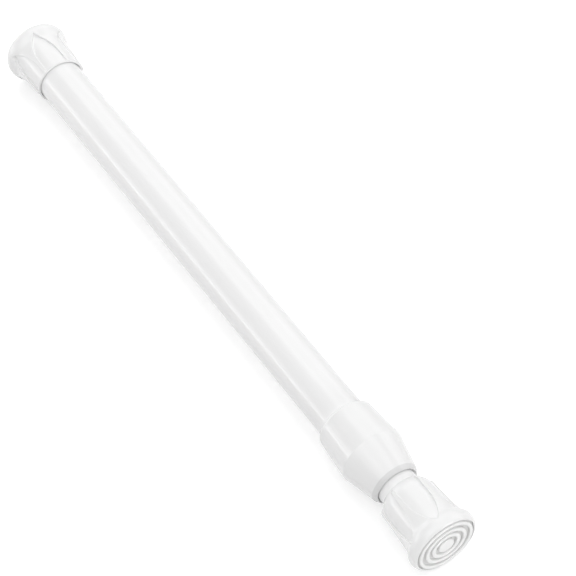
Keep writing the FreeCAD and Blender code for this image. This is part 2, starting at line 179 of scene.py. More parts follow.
def bulged(start, end, bulge, steps):
    """Arc that leaves its chord by a share of the chord's length, away from the rod's axis if positive."""
    middle = ((start[0] + end[0]) / 2 + bulge * (start[1] - end[1]),
              (start[1] + end[1]) / 2 + bulge * (end[0] - start[0]))
    return arc(start, middle, end, steps)


def rounded(corners, steps=4):
    """Closed profile from (place, radius, rounding) corners."""
    points = []
    for number, (place, radius, rounding) in enumerate(corners):
        here = Vector((place, radius))
        if not rounding:
            points.append(here)
            continue
        back = (Vector(corners[number - 1][:2]) - here).normalized()
        ahead = (Vector(corners[(number + 1) % len(corners)][:2]) - here).normalized()
        half = back.angle(ahead) / 2
        centre = here + (back + ahead).normalized() * rounding / math.sin(half)
        spoke = here + back * rounding / math.tan(half) - centre
        last = here + ahead * rounding / math.tan(half) - centre
        points += [centre + rounding * spoke.slerp(last, step / steps) for step in range(steps + 1)]
    return [tuple(point) for point in points]


def flowing(points, steps):
    """Smooth line through the points, which keeps to them without a kink."""
    line = [Vector(point) for point in points]
    ends = [2 * line[0] - line[1]] + line + [2 * line[-1] - line[-2]]
    result = []
    for before, here, there, after in zip(ends, ends[1:], ends[2:], ends[3:]):
        span = (there - here).length
        leave = (there - before) * span / ((here - before).length + span)
        enter = (after - here) * span / ((after - there).length + span)
        for step in range(steps):
            t = step / steps
            result.append((2 * t ** 3 - 3 * t ** 2 + 1) * here + (t ** 3 - 2 * t ** 2 + t) * leave
                          + (3 * t ** 2 - 2 * t ** 3) * there + (t ** 3 - t ** 2) * enter)
    return [tuple(point) for point in result + [line[-1]]]


def along(line, place):
    """Radius of a line of (place, radius) points at a place."""
    for (x0, r0), (x1, r1) in zip(line, line[1:]):
        if place <= x1:
            return r0 + (r1 - r0) * max(place - x0, 0) / (x1 - x0)
    return line[-1][1]


# ---- node trees that repeat and turn ----

def tree_with(name, inputs):
    """Geometry Nodes tree with named inputs: returns the tree, the maker of its nodes and its inputs."""
    tree = bpy.data.node_groups.new(name, "GeometryNodeTree")
    for label, kind in [("Geometry", "Geometry"), *inputs, ("Seam", "Float"), ("Material", "Material")]:
        tree.interface.new_socket(label, in_out="INPUT", socket_type="NodeSocket" + kind)
    tree.interface.new_socket("Geometry", in_out="OUTPUT", socket_type="NodeSocketGeometry")
    given = tree.nodes.new("NodeGroupInput").outputs

    def node(kind, settings, inputs):
        made = tree.nodes.new(kind)
        for key, value in settings.items():
            setattr(made, key, value)
        for key, value in inputs.items():
            if isinstance(value, bpy.types.NodeSocket):
                tree.links.new(value, made.inputs[key])
            else:
                made.inputs[key].default_value = value
        return made.outputs[0]

    return tree, node, given


def finish_tree(tree, node, given, geometry):
    """Realizes, closes seams and poles, and gives the material."""
    plain = node("GeometryNodeRealizeInstances", {}, {"Geometry": geometry})
    merged = node("GeometryNodeMergeByDistance", {}, {"Geometry": plain, "Distance": given["Seam"]})
    painted = node("GeometryNodeSetMaterial", {}, {"Geometry": merged, "Material": given["Material"]})
    tree.links.new(painted, tree.nodes.new("NodeGroupOutput").inputs[0])
    return tree


def turning_tree():
    """Turns a closed profile about the X axis: its points are (place, radius) in the XY plane."""
    tree, node, given = tree_with("Turned about the rod", [("Segments", "Int")])

    def whole(operation, a, b):
        return node("FunctionNodeIntegerMath", {"operation": operation}, {0: a, 1: b})

    def number(operation, a, b=0.0):
        return node("ShaderNodeMath", {"operation": operation}, {0: a, 1: b})

    count = node("GeometryNodeAttributeDomainSize", {}, {"Geometry": given["Geometry"]})
    columns = whole("ADD", given["Segments"], 1)
    grid = node("GeometryNodeMeshGrid", {}, {"Vertices X": whole("ADD", count, 1), "Vertices Y": columns})
    index = node("GeometryNodeInputIndex", {}, {})
    row = whole("MODULO", whole("DIVIDE", index, columns), count)
    profile = node("GeometryNodeSampleIndex", {"data_type": "FLOAT_VECTOR"},
                   {"Geometry": given["Geometry"], "Value": node("GeometryNodeInputPosition", {}, {}),
                    "Index": row})
    split = node("ShaderNodeSeparateXYZ", {}, {"Vector": profile}).node.outputs
    angle = number("DIVIDE", number("MULTIPLY", whole("MODULO", index, columns), math.tau), given["Segments"])
    place = node("ShaderNodeCombineXYZ", {}, {"X": split["X"],
                                              "Y": number("MULTIPLY", split["Y"], number("COSINE", angle)),
                                              "Z": number("MULTIPLY", split["Y"], number("SINE", angle))})
    round_grid = node("GeometryNodeSetPosition", {}, {"Geometry": grid, "Position": place})
    return finish_tree(tree, node, given, round_grid)


def repeating_tree():
    """Repeats one sector round the X axis and closes the seams between the copies."""
    tree, node, given = tree_with("Petals round the cap", [("Count", "Int"), ("First angle", "Float")])
    points = node("GeometryNodePoints", {}, {"Count": given["Count"]})
    step = node("ShaderNodeMath", {"operation": "DIVIDE"}, {0: math.tau, 1: given["Count"]})
    turn = node("ShaderNodeMath", {"operation": "MULTIPLY_ADD"},
                {0: node("GeometryNodeInputIndex", {}, {}), 1: step, 2: given["First angle"]})
    rotation = node("ShaderNodeCombineXYZ", {}, {"X": turn})
    copies = node("GeometryNodeInstanceOnPoints", {},
                  {"Points": points, "Instance": given["Geometry"], "Rotation": rotation})
    return finish_tree(tree, node, given, copies)


def coiling_tree():
    """Winds a round wire into a coil that rises along Z."""
    measures = ("Turns", "Radius", "Height", "Wire radius")
    tree, node, given = tree_with("Coiled wire", [(measure, "Float") for measure in measures])
    path = node("GeometryNodeCurveSpiral", {},
                {"Resolution": STEPS_A_TURN, "Rotations": given["Turns"], "Start Radius": given["Radius"],
                 "End Radius": given["Radius"], "Height": given["Height"], "Reverse": True})
    section = node("GeometryNodeCurvePrimitiveCircle", {},
                   {"Resolution": WIRE_SIDES, "Radius": given["Wire radius"]})
    wire = node("GeometryNodeCurveToMesh", {}, {"Curve": path, "Profile Curve": section, "Fill Caps": True})
    return finish_tree(tree, node, given, wire)


TURNED = turning_tree()
REPEATED = repeating_tree()
COILED = coiling_tree()
SEAM = 2e-6
SMOOTH_UP_TO = math.radians(38)


def grown(name, seed, tree, inputs):
    """Runs a tree on the seed mesh and keeps the result as a plain mesh with outward faces."""
    piece = bpy.data.objects.new(name, seed)
    bpy.context.scene.collection.objects.link(piece)
    modifier = piece.modifiers.new("Grow", "NODES")
    modifier.node_group = tree
    for socket in tree.interface.items_tree:
        if socket.in_out == "INPUT" and socket.name in inputs:
            modifier[socket.identifier] = inputs[socket.name]
    bpy.context.view_layer.update()
    grown_mesh = bpy.data.meshes.new_from_object(piece.evaluated_get(bpy.context.evaluated_depsgraph_get()))
    piece.modifiers.remove(modifier)
    work = bmesh.new()
    work.from_mesh(grown_mesh)
    bmesh.ops.dissolve_degenerate(work, dist=SEAM, edges=work.edges)
    if work.calc_volume(signed=True) < 0:
        bmesh.ops.reverse_faces(work, faces=work.faces)
    work.to_mesh(grown_mesh)
    work.free()
    grown_mesh.name = name
    grown_mesh.polygons.foreach_set("use_smooth", [True] * len(grown_mesh.polygons))
    grown_mesh.set_sharp_from_angle(angle=SMOOTH_UP_TO)
    piece.data = grown_mesh
    return piece


def turned(name, profile, finish, segments=192):
    """Piece turned about the rod's axis from a closed profile of (place, radius) points."""
    seed = bpy.data.meshes.new(name + "_profile")
    seed.from_pydata([(place * MM, radius * MM, 0) for place, radius in profile], [], [])
    return grown(name, seed, TURNED, {"Segments": segments, "Seam": SEAM, "Material": finish})


# ---- end caps ----

FLOOR_STEPS, FILLET_STEPS, EDGE_STEPS, RIB_STEPS = 9, 3, 3, 8
LINE_STEPS = 6
HALF_SECTOR = math.pi / PETALS
RIB_LEAST = math.radians(0.6)
RECESS_ROW, FIXED_SOCKET_ROW, MOVING_SOCKET_ROW = 0.9, 12, 14
FIXED_WEB_ROWS, MOVING_WEB_ROWS = [(6.2, 0.3), (4.4, 0.65)], [(5.2, 0.3), (3.8, 0.65)]
REACH = PETAL_SHOULDER - PETAL_TIP
ARCH = (REACH ** 2 + PETAL_HALF_WIDTH ** 2) / (2 * PETAL_HALF_WIDTH)
TIP_ANGLE = math.asin(REACH / ARCH)


def half_width(place):
    """Half the width of a recess at a place along the cap, and the lean of its edge there."""
    if place >= PETAL_SHOULDER:
        return PETAL_HALF_WIDTH, 0.0
    lean = math.asin((PETAL_SHOULDER - place) / ARCH)
    return PETAL_HALF_WIDTH - ARCH * (1 - math.cos(lean)), lean


def on_round(place, across, radius, lift=0.0):
    """Point above the recess's middle line: Y is outward and Z is across."""
    return (place, math.sqrt(max(radius ** 2 - across ** 2, 0)) + lift, across)


def recess_row(floor, bell, floor_line, bell_line, tip=False):
    """One row of points from a recess's middle, up its wall and over the edge to the rib's middle."""
    width, lean = half_width(floor[0])
    widest = math.sin(HALF_SECTOR - RIB_LEAST)
    low, high = min(width, floor[1] * widest), min(width, bell[1] * widest)
    height = on_round(0, high, bell[1])[1] - on_round(0, low, floor[1])[1]
    room = bell[1] * (HALF_SECTOR - math.asin(high / bell[1]))
    ease = max(min(1, 0.8 * height / (PETAL_EDGE + PETAL_FILLET), 0.7 * room / PETAL_EDGE), 0.02)
    edge, fillet = PETAL_EDGE * ease, PETAL_FILLET * ease
    forward, sideways = (1 / math.sin(TIP_ANGLE), 0.0) if tip else (math.sin(lean), math.cos(lean))

    def floor_point(inset, lift=0.0, share=1.0):
        place = floor[0] + inset * forward
        radius = along(floor_line, place) if lean else floor[1]
        return on_round(place, max(low - inset * sideways, 0) * share, radius, lift)

    def bell_point(outset, drop=0.0):
        place = bell[0] - outset * forward
        radius = along(bell_line, place) if lean else bell[1]
        return on_round(place, high + outset * sideways, radius, -drop)

    row = [floor_point(fillet, 0, step / FLOOR_STEPS) for step in range(FLOOR_STEPS)]
    for step in range(FILLET_STEPS + 1):
        turn = step / FILLET_STEPS * math.pi / 2
        row.append(floor_point(fillet * (1 - math.sin(turn)), fillet * (1 - math.cos(turn))))
    for step in range(EDGE_STEPS + 1):
        turn = step / EDGE_STEPS * math.pi / 2
        row.append(bell_point(edge * (1 - math.cos(turn)), edge * (1 - math.sin(turn))))
    place, outward, across = row[-1]
    radius, start = math.hypot(outward, across), math.atan2(across, outward)
    for step in range(1, RIB_STEPS + 1):
        angle = start + (HALF_SECTOR - start) * step / RIB_STEPS
        row.append((place, radius * math.cos(angle), radius * math.sin(angle)))
    return row


def round_row(place, radius, angles):
    """Row of points at one radius."""
    return [(place, radius * math.cos(angle), radius * math.sin(angle)) for angle in angles]


def evenly(line, count):
    """Points spaced evenly along a line of points."""
    lengths = [0.0]
    for a, b in zip(line, line[1:]):
        lengths.append(lengths[-1] + math.dist(a, b))
    result = []
    for step in range(count + 1):
        goal = lengths[-1] * step / count
        number = max(i for i, length in enumerate(lengths[:-1]) if length <= goal)
        share = (goal - lengths[number]) / (lengths[number + 1] - lengths[number])
        (x0, r0), (x1, r1) = line[number], line[number + 1]
        result.append((x0 + (x1 - x0) * share, r0 + (r1 - r0) * share))
    return result


def spaced(first, last, step):
    """Places from the first up to, but without, the last, about a step apart."""
    count = max(round((last - first) / step), 1)
    return [first + (last - first) * number / count for number in range(count)]


def cap_sector(bell_line, floor_line, mouth_rows, inner_line):
    """Mesh of one petal and its two half ribs, with the lip, the socket and the pad's recess."""
    fine = FLOOR_STEPS + FILLET_STEPS + 1 + EDGE_STEPS + RIB_STEPS
    coarse_angles = [HALF_SECTOR * step / RIB_STEPS for step in range(RIB_STEPS + 1)]
    fine_angles = [HALF_SECTOR * step / fine for step in range(fine + 1)]
    mouth_start = mouth_rows[0][0][0]
    tip_start = PETAL_TIP - PETAL_EDGE / math.sin(TIP_ANGLE)

    recess, halfway = PAD + PAD_GAP, RECESS_EDGE_MIDDLE
    front = [(WEB_FRONT, recess), (RECESS_ROW, recess), (LIP_PLACE + RECESS_EDGE, recess),
             (LIP_PLACE + halfway, recess + halfway), (LIP_PLACE, recess + RECESS_EDGE)]
    front += [point for point in bell_line if point[0] < tip_start - 0.1]
    rows = [round_row(place, radius, coarse_angles) for place, radius in front]
    places = spaced(PETAL_TIP, NECK_END, 0.3) + spaced(NECK_END, PETAL_SHOULDER, 0.5)
    places += spaced(PETAL_SHOULDER, mouth_start, 1.0)
    deep = [recess_row((place, along(floor_line, place)), (place, along(bell_line, place)),
                       floor_line, bell_line, tip=place == PETAL_TIP) for place in places]
    deep += [recess_row(floor, bell, floor_line, bell_line) for floor, bell in mouth_rows]
    mouth_angles = [math.atan2(point[2], point[1]) for point in deep[-1]]
    first, last = FLOOR_STEPS, fine - RIB_STEPS
    for number in range(first, last + 1):
        share = (number - first) / (last - first)
        mouth_angles[number] = mouth_angles[first] * (1 - share) + mouth_angles[last] * share
    for place, radius, even in inner_line:
        angles = [a + (b - a) * even for a, b in zip(mouth_angles, fine_angles)]
        deep.append(round_row(place, radius, angles))

    work = bmesh.new()
    for side in (1, -1):
        def strip(lines, made):
            for lower, upper in zip(made, made[1:]):
                for a, b, c, d in zip(lower, lower[1:], upper[1:], upper):
                    work.faces.new((a, b, c, d) if side > 0 else (d, c, b, a))

        def vertices(line):
            return [work.verts.new((x * MM, y * MM, side * z * MM)) for x, y, z in line]

        front_rows = [vertices(line) for line in rows]
        deep_rows = [vertices(line) for line in deep]
        strip(rows, front_rows + [deep_rows[0][fine - RIB_STEPS:]])
        strip(deep, deep_rows)
        hole, rim, ratio = deep_rows[-1], front_rows[0], fine // RIB_STEPS
        for number in range(RIB_STEPS):
            inner = hole[number * ratio:(number + 1) * ratio + 1]
            face = inner + [rim[number + 1], rim[number]]
            work.faces.new(face if side > 0 else face[::-1])
    mesh = bpy.data.meshes.new("cap_sector")
    work.to_mesh(mesh)
    work.free()
    return mesh


# ---- finishes ----

class Reading:
    """A socket of a material's tree, on which sums and products add Math nodes."""

    def __init__(self, finish, socket):
        self.finish, self.socket = finish, socket

    def __add__(self, other):
        return self.finish.sum_of("ADD", self, other)

    def __mul__(self, other):
        return self.finish.sum_of("MULTIPLY", self, other)

    def __sub__(self, other):
        return self.finish.sum_of("SUBTRACT", self, other)

    def __rsub__(self, other):
        return self.finish.sum_of("SUBTRACT", other, self)

    __radd__, __rmul__ = __add__, __mul__


class Finish:
    """A material that is being made, with its surface shader and the object's own coordinates."""

    def __init__(self, name, **constants):
        self.material = bpy.data.materials.new(name)
        self.material.use_nodes = True
        self.tree = self.material.node_tree
        self.tree.nodes.clear()
        self.surface = self.tree.nodes.new("ShaderNodeBsdfPrincipled")
        out = self.tree.nodes.new("ShaderNodeOutputMaterial")
        self.tree.links.new(self.surface.outputs[0], out.inputs[0])
        for key, value in constants.items():
            self.surface.inputs[key.replace("_", " ")].default_value = value
        self.place = self.node("ShaderNodeTexCoord", {}, {}, "Object")

    def node(self, kind, settings, inputs, output=0):
        made = self.tree.nodes.new(kind)
        for key, value in settings.items():
            if key == "stops":
                for stop, (position, colour) in zip(made.color_ramp.elements, value):
                    stop.position, stop.color = position, (*colour, 1)
            else:
                setattr(made, key, value)
        for key, value in inputs.items():
            value = value.socket if isinstance(value, Reading) else value
            if isinstance(value, bpy.types.NodeSocket):
                self.tree.links.new(value, made.inputs[key])
            else:
                made.inputs[key].default_value = value
        return Reading(self, made.outputs[output])

    def sum_of(self, operation, *values):
        return self.node("ShaderNodeMath", {"operation": operation}, dict(enumerate(values)))

    def noise(self, per_metre, detail=2.0, stretch=(1, 1, 1)):
        scaled = self.node("ShaderNodeMapping", {}, {"Vector": self.place, "Scale": stretch})
        return self.node("ShaderNodeTexNoise", {}, {"Vector": scaled, "Scale": per_metre, "Detail": detail})

    def blend(self, share, low, high):
        low, high = (side if isinstance(side, Reading) else (*side, 1) for side in (low, high))
        return self.node("ShaderNodeMix", {"data_type": "RGBA"}, {0: share, 6: low, 7: high}, 2)

    def rise(self, value, start, end):
        """0 up to the start and 1 from the end on, with a smooth rise between."""
        return self.node("ShaderNodeMapRange", {"interpolation_type": "SMOOTHSTEP"},
                         {"Value": value, "From Min": start * MM, "From Max": end * MM})

    def painted_groove_shade_by_depth(self, shallow, deep):
        """Rise with the depth behind the rod's two end faces, which masks the pads' painted groove shade."""
        place = self.node("ShaderNodeSeparateXYZ", {}, {"Vector": self.place})
        return self.rise(self.sum_of("MINIMUM", place, ROD_LENGTH * MM - place), shallow, deep)

    def past(self, place, blur=0.15):
        """Rise at a place along the rod."""
        along_rod = self.node("ShaderNodeSeparateXYZ", {}, {"Vector": self.place})
        return self.rise(along_rod, place - blur, place + blur)

    def bumps(self, *layers):
        """Adds bumps of (height, depth in metres), each over the one before."""
        normal = None
        for height, depth in layers:
            inputs = {"Height": height, "Distance": depth, "Strength": 1.0}
            if normal:
                inputs["Normal"] = normal
            normal = self.node("ShaderNodeBump", {}, inputs)
        return normal

    def set(self, **sockets):
        for key, value in sockets.items():
            self.tree.links.new(value.socket, self.surface.inputs[key.replace("_", " ")])
        return self.material


def enamel(name):
    """Gloss white paint on rolled steel: faint waves of the paint and a fine grain in its shine."""
    finish = Finish(name, IOR=1.5)
    cloud, grain = finish.noise(35, 2), finish.noise(900, 2)
    waves = finish.noise(120, 1, (0.35, 1, 1))
    return finish.set(
        Base_Color=finish.blend(cloud, (0.86, 0.86, 0.862), (0.875, 0.875, 0.875)),
        Roughness=0.16 + grain * 0.03 + cloud * 0.04,
        Normal=finish.bumps((waves, 0.000002), (grain, 0.0000001)))


def moulded_gloss(name, tint, roughness, nose_tint=None):
    """Moulded plastic: shine that varies a little where the melt flowed, and a fine mould grain."""
    finish = Finish(name, IOR=1.48)
    flow, grain = finish.noise(90, 2, (0.5, 1, 1)), finish.noise(1400, 2)
    colour = finish.blend(flow, tuple(value - 0.015 for value in tint), tint)
    # With a nose_tint, the collar's nose, its last NOSE_LENGTH before the mouth, is a darker grey.
    if nose_tint:
        colour = finish.blend(finish.past(COLLAR_END - NOSE_LENGTH), colour, nose_tint)
    return finish.set(
        Base_Color=colour,
        Roughness=roughness + grain * 0.04 + flow * 0.03,
        Normal=finish.bumps((flow, 0.000001), (grain, 0.0000001)))


def soft_rubber(name):
    """White anti-slip rubber: matt, with a fine pebbled skin and faint mottling, and painted shade that turns
    its grooves a darker grey.
    """
    finish = Finish(name, IOR=1.45, Specular_IOR_Level=0.35)
    mottle, pebbles = finish.noise(220, 3), finish.noise(2600, 2)
    # Painted shade: the deeper behind the end face, the darker grey the rubber is painted, so its grooves
    # carry painted shade.
    depth = finish.painted_groove_shade_by_depth(0.2, 0.9)
    top = finish.blend(mottle, (0.91, 0.91, 0.906), (0.935, 0.935, 0.93))
    return finish.set(
        Base_Color=finish.blend(depth, top, (0.72, 0.72, 0.715)),
        Roughness=0.5 + pebbles * 0.2,
        Normal=finish.bumps((mottle, 0.000008), (pebbles, 0.000002)))


def plain_moulding(name, low, high, roughness):
    """Matt moulded plastic of the hidden fittings, with tool marks round the rod."""
    finish = Finish(name, IOR=1.5)
    cloud, marks = finish.noise(180, 3), finish.noise(500, 2, (4, 0.4, 0.4))
    return finish.set(
        Base_Color=finish.blend(cloud, low, high),
        Roughness=roughness + marks * 0.15,
        Normal=finish.bumps((cloud, 0.00001), (marks, 0.000005)))


def drawn_steel(name, low, high, roughness):
    """Bare steel with fine drawn lines and a patchy shine."""
    finish = Finish(name, Metallic=1.0)
    patches, lines = finish.noise(300, 3), finish.noise(2500, 2, (0.2, 1, 1))
    return finish.set(
        Base_Color=finish.blend(patches, low, high),
        Roughness=roughness + lines * 0.18 + patches * 0.08,
        Normal=finish.bumps((lines, 0.000004)))


FINISHES = {
    "white_enamel": enamel("gloss white enamel"),
    "cap_plastic": moulded_gloss("white moulded cap", (0.875, 0.875, 0.875), 0.13),
    "collar_plastic": moulded_gloss("white moulded collar", (0.87, 0.87, 0.87), 0.13, (0.76, 0.76, 0.76)),
    "pad_rubber": soft_rubber("white pad rubber"),
    "inner_nylon": plain_moulding("natural nylon", (0.72, 0.71, 0.66), (0.8, 0.79, 0.75), 0.38),
    "lock_plastic": plain_moulding("dark lock plastic", (0.03, 0.03, 0.033), (0.06, 0.06, 0.065), 0.42),
    "spring_steel": drawn_steel("spring wire", (0.42, 0.43, 0.44), (0.55, 0.56, 0.57), 0.24),
    "zinc_steel": drawn_steel("zinc plated steel", (0.6, 0.62, 0.65), (0.72, 0.73, 0.75), 0.3),
}
for row in frame["record"]["subparts"]:
    cad_node = frame["nodes"][row["node"]]
    for number in range(max(len(cad_node.material_slots), 1)):
        if not cad_node.material_slots:
            cad_node.data.materials.append(None)
        cad_node.material_slots[number].material = FINISHES[row["material_slot"]]


def dressed(piece, body, node):
    """Lets the piece ride its body in place of the solid, which it hides."""
    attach(piece, body)
    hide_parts(node)
    return piece


def at_moving_end(points):
    return [(ROD_LENGTH - place, radius) for place, radius in points]


# ---- the pieces ----

def tube_profile(start, end, radius):
    inside = radius - TUBE_WALL
    return rounded([(start, radius, TUBE_EDGE), (end, radius, TUBE_EDGE),
                    (end, inside, TUBE_EDGE), (start, inside, TUBE_EDGE)])


def pad_profile():
    """Centre disc and ridges with rounded tops, and the peg that snaps through the cap's web."""
    corners = [(0, 0, 0)]
    for inner, outer in GROOVES:
        corners += [(0, inner, PAD_EDGE), (GROOVE_DEPTH, inner, PAD_EDGE / 2),
                    (GROOVE_DEPTH, outer, PAD_EDGE / 2), (0, outer, PAD_EDGE)]
    peg = PEG_HOLE - SEAT_GAP
    base = PAD + PAD_GAP - SEAT_GAP
    corners += [(0, PAD, PAD_EDGE), (GROOVE_DEPTH, PAD, PAD_EDGE / 2), (GROOVE_DEPTH, base, PAD_EDGE / 2),
                (WEB_FRONT, base, 0), (WEB_FRONT, peg, 0), (SOCKET_BOTTOM, peg, 0),
                (SOCKET_BOTTOM, PEG_HEAD, 0), (PEG_END, PEG_TIP, PAD_EDGE), (PEG_END, 0, 0)]
    return rounded(corners)


def collar_profile():
    """Small step at the back, cone up to a soft ridge, hollow cone down to the bevelled nose."""
    seat, edge = OUTER_TUBE + SEAT_GAP, MOUTH_BORE + MOUTH_SINK
    sink, land = COLLAR_END - MOUTH_SINK, COLLAR_END - MOUTH_SINK - MOUTH_LAND
    back, step = (COLLAR_START, COLLAR_BACK), (COLLAR_START + STEP_LENGTH, COLLAR_STEP)
    nose = (COLLAR_END - NOSE_LENGTH, NOSE)
    corners = [(*point, 0) for point in bulged(back, step, STEP_BULGE, 6)]
    corners.append((RIDGE_PLACE, RIDGE, RIDGE_ROUND))
    corners += [(*point, 0) for point in bulged((RIDGE_PLACE, RIDGE), nose, CONE_HOLLOW, 12)[1:-1]]
    corners += [(*nose, NOSE_ROUND), (COLLAR_END, edge + NOSE_WALL, LIP_EDGE), (COLLAR_END, edge, LIP_EDGE),
                (sink, MOUTH_BORE, BORE_EDGE), (land, MOUTH_BORE, 0), (land, RELIEF, 0),
                (FLANGE_END, RELIEF, 0), (FLANGE_END, seat, 0), (COLLAR_START, seat, BORE_EDGE)]
    return rounded(corners, 6)


def end_cap(name, finish, rib_line, floor_line, mouth_rows, inner_line, moving):
    bell_line = flowing(BELL_LINE + rib_line, LINE_STEPS)
    sector = cap_sector(bell_line, floor_line, mouth_rows, inner_line)
    if moving:
        sector.transform(Matrix.Translation((ROD_LENGTH * MM, 0, 0)) @ Matrix.Diagonal((-1, 1, 1, 1)))
    return grown(name, sector, REPEATED, {"Count": PETALS, "First angle": math.radians(FIRST_PETAL),
                                          "Seam": SEAM, "Material": finish})


def socket_floor(socket, web_rows):
    """Rows over the web at the socket's bottom and down the peg's hole, as (place, radius, evenness)."""
    web = [(SOCKET_BOTTOM, radius, even) for radius, even in ((socket, 0), *web_rows, (PEG_HOLE, 1))]
    return web + [(WEB_FRONT, PEG_HOLE, 1)]


def fixed_cap():
    socket = OUTER_TUBE + SEAT_GAP
    mouth = (FIXED_CAP, socket + LEAD_IN + FIXED_MOUTH_WALL)
    rib_start, floor_start = FIXED_CAP - FIXED_RIB_END, FIXED_CAP - FIXED_FLOOR_END
    rib_line = FIXED_RIB_LINE + [(rib_start, RIB_MOUTH)]
    floor_line = flowing(FLOOR_LINE + [FIXED_FLOOR_PLACE, (floor_start, FLOOR_MOUTH)], LINE_STEPS)
    rib_end = bulged((rib_start, RIB_MOUTH), mouth, QUARTER_ROUND, 24)
    floor_end = bulged((floor_start, FLOOR_MOUTH), mouth, QUARTER_ROUND, 24)
    mouth_rows = list(zip(evenly([(rib_start, along(floor_line, rib_start))] + floor_end, 8),
                          evenly(rib_end, 8)))
    inner_line = [(FIXED_CAP, socket + LEAD_IN, 0), (FIXED_CAP - LEAD_IN_DEPTH, socket, 0),
                  (FIXED_SOCKET_ROW, socket, 0)] + socket_floor(socket, FIXED_WEB_ROWS)
    return end_cap("fixed_cap_moulding", FINISHES["cap_plastic"], rib_line, floor_line,
                   mouth_rows, inner_line, False)


def moving_cap():
    socket = INNER_TUBE + SEAT_GAP
    mouth = (MOVING_CAP, socket + MOVING_MOUTH_WALL)
    bevel, shoulder = MOVING_CAP - MOVING_BEVEL, MOVING_CAP - MOVING_SHOULDER
    rib_line = MOVING_RIB_LINE + [(bevel, RIB_MOUTH)]
    floor_line = flowing(FLOOR_LINE + [MOVING_FLOOR_PLACE, (shoulder, FLOOR_MOUTH)], LINE_STEPS)
    rib_start = along(flowing(BELL_LINE + rib_line, LINE_STEPS), shoulder)
    rib_end = rounded([(shoulder, rib_start, 0), (bevel, RIB_MOUTH, BEVEL_EDGE), (*mouth, 0)])
    floor_end = bulged((shoulder, FLOOR_MOUTH), mouth, SHOULDER_BULGE, 32)
    mouth_rows = list(zip(evenly(floor_end, 24), evenly(rib_end, 24)))
    inner_line = [(MOVING_CAP, socket, 0), (MOVING_SOCKET_ROW, socket, 0)]
    inner_line += socket_floor(socket, MOVING_WEB_ROWS)
    return end_cap("moving_cap_moulding", FINISHES["cap_plastic"], rib_line, floor_line,
                   mouth_rows, inner_line, True)


def spring_wire():
    """Long compression spring, a coil of round wire from the spindle's seat towards the stop."""
    height = SPRING_LENGTH - 2 * WIRE - 2 * SEAT_GAP
    seed = bpy.data.meshes.new("spring_seed")
    coil = grown("spring_wire", seed, COILED, {"Turns": float(SPRING_TURNS), "Radius": SPRING_RADIUS * MM,
                                               "Height": height * MM, "Wire radius": WIRE * MM, "Seam": SEAM,
                                               "Material": FINISHES["spring_steel"]})
    start = Matrix.Translation(((SPRING_START + WIRE + SEAT_GAP) * MM, 0, 0))
    coil.data.transform(start @ Matrix.Rotation(math.pi / 2, 4, "Y"))
    return coil


def drilled(piece):
    """Cuts the two pin holes through the inner tube's wall."""
    drill = bmesh.new()
    bmesh.ops.create_cone(drill, cap_ends=True, segments=24, radius1=PIN_HOLE * MM, radius2=PIN_HOLE * MM,
                          depth=4 * INNER_TUBE * MM)
    bmesh.ops.translate(drill, verts=drill.verts, vec=(PIN_PLACE * MM, 0, 0))
    tool_mesh = bpy.data.meshes.new("pin_drill")
    drill.to_mesh(tool_mesh)
    drill.free()
    tool = bpy.data.objects.new("pin_drill", tool_mesh)
    bpy.context.scene.collection.objects.link(tool)
    cut = piece.modifiers.new("Drill", "BOOLEAN")
    cut.operation, cut.solver, cut.object = "DIFFERENCE", "EXACT", tool
    bpy.context.view_layer.update()
    piece.data = bpy.data.meshes.new_from_object(piece.evaluated_get(bpy.context.evaluated_depsgraph_get()))
    piece.modifiers.remove(cut)
    bpy.data.objects.remove(tool)
    piece.data.set_sharp_from_angle(angle=SMOOTH_UP_TO)
    return piece


white, rubber = FINISHES["white_enamel"], FINISHES["pad_rubber"]
dressed(turned("outer_tube_painted", tube_profile(SOCKET_BOTTOM, OUTER_TUBE_END, OUTER_TUBE), white),
        "fixed_side", "outer_tube")
dressed(drilled(turned("inner_tube_painted",
                       tube_profile(INNER_TUBE_START, ROD_LENGTH - SOCKET_BOTTOM, INNER_TUBE), white)),
        "sliding_side", "inner_tube")
dressed(turned("collar_moulding", collar_profile(), FINISHES["collar_plastic"]),
        "fixed_side", "collar")
dressed(fixed_cap(), "fixed_side", "fixed_end_cap")
dressed(moving_cap(), "sliding_side", "moving_end_cap")
dressed(turned("fixed_pad_ridged", pad_profile(), rubber), "fixed_side", "fixed_end_pad")
dressed(turned("moving_pad_ridged", at_moving_end(pad_profile()), rubber),
        "sliding_side", "moving_end_pad")
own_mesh(dressed(spring_wire(), "sliding_side", "spring"))


# ---- camera, floor and light ----

def camera_at(place, azimuth, elevation, roll, lens):
    """Camera at a place in metres that looks back along a direction given in degrees."""
    a, e, r = (math.radians(angle) for angle in (azimuth, elevation, roll))
    back = Vector((math.sin(a) * math.cos(e), -math.cos(a) * math.cos(e), math.sin(e)))
    level = Vector((math.cos(a), math.sin(a), 0))
    steep = back.cross(level)
    right = math.cos(r) * level + math.sin(r) * steep
    up = math.cos(r) * steep - math.sin(r) * level
    data = bpy.data.cameras.new("camera")
    data.lens, data.sensor_width = lens, 36.0
    camera = bpy.data.objects.new("camera", data)
    camera.matrix_world = Matrix.Translation(place) @ Matrix((right, up, back)).transposed().to_4x4()
    bpy.context.scene.collection.objects.link(camera)
    bpy.context.scene.camera = camera


def background_rays(tree):
    """1 on the rays that show the background: the camera's own, and those through shine and glass."""
    path = tree.nodes.new("ShaderNodeLightPath")
    shown = path.outputs["Is Camera Ray"]
    for ray in ("Is Glossy Ray", "Is Transmission Ray"):
        either = tree.nodes.new("ShaderNodeMath")
        either.operation = "MAXIMUM"
        tree.links.new(shown, either.inputs[0])
        tree.links.new(path.outputs[ray], either.inputs[1])
        shown = either.outputs[0]
    return shown


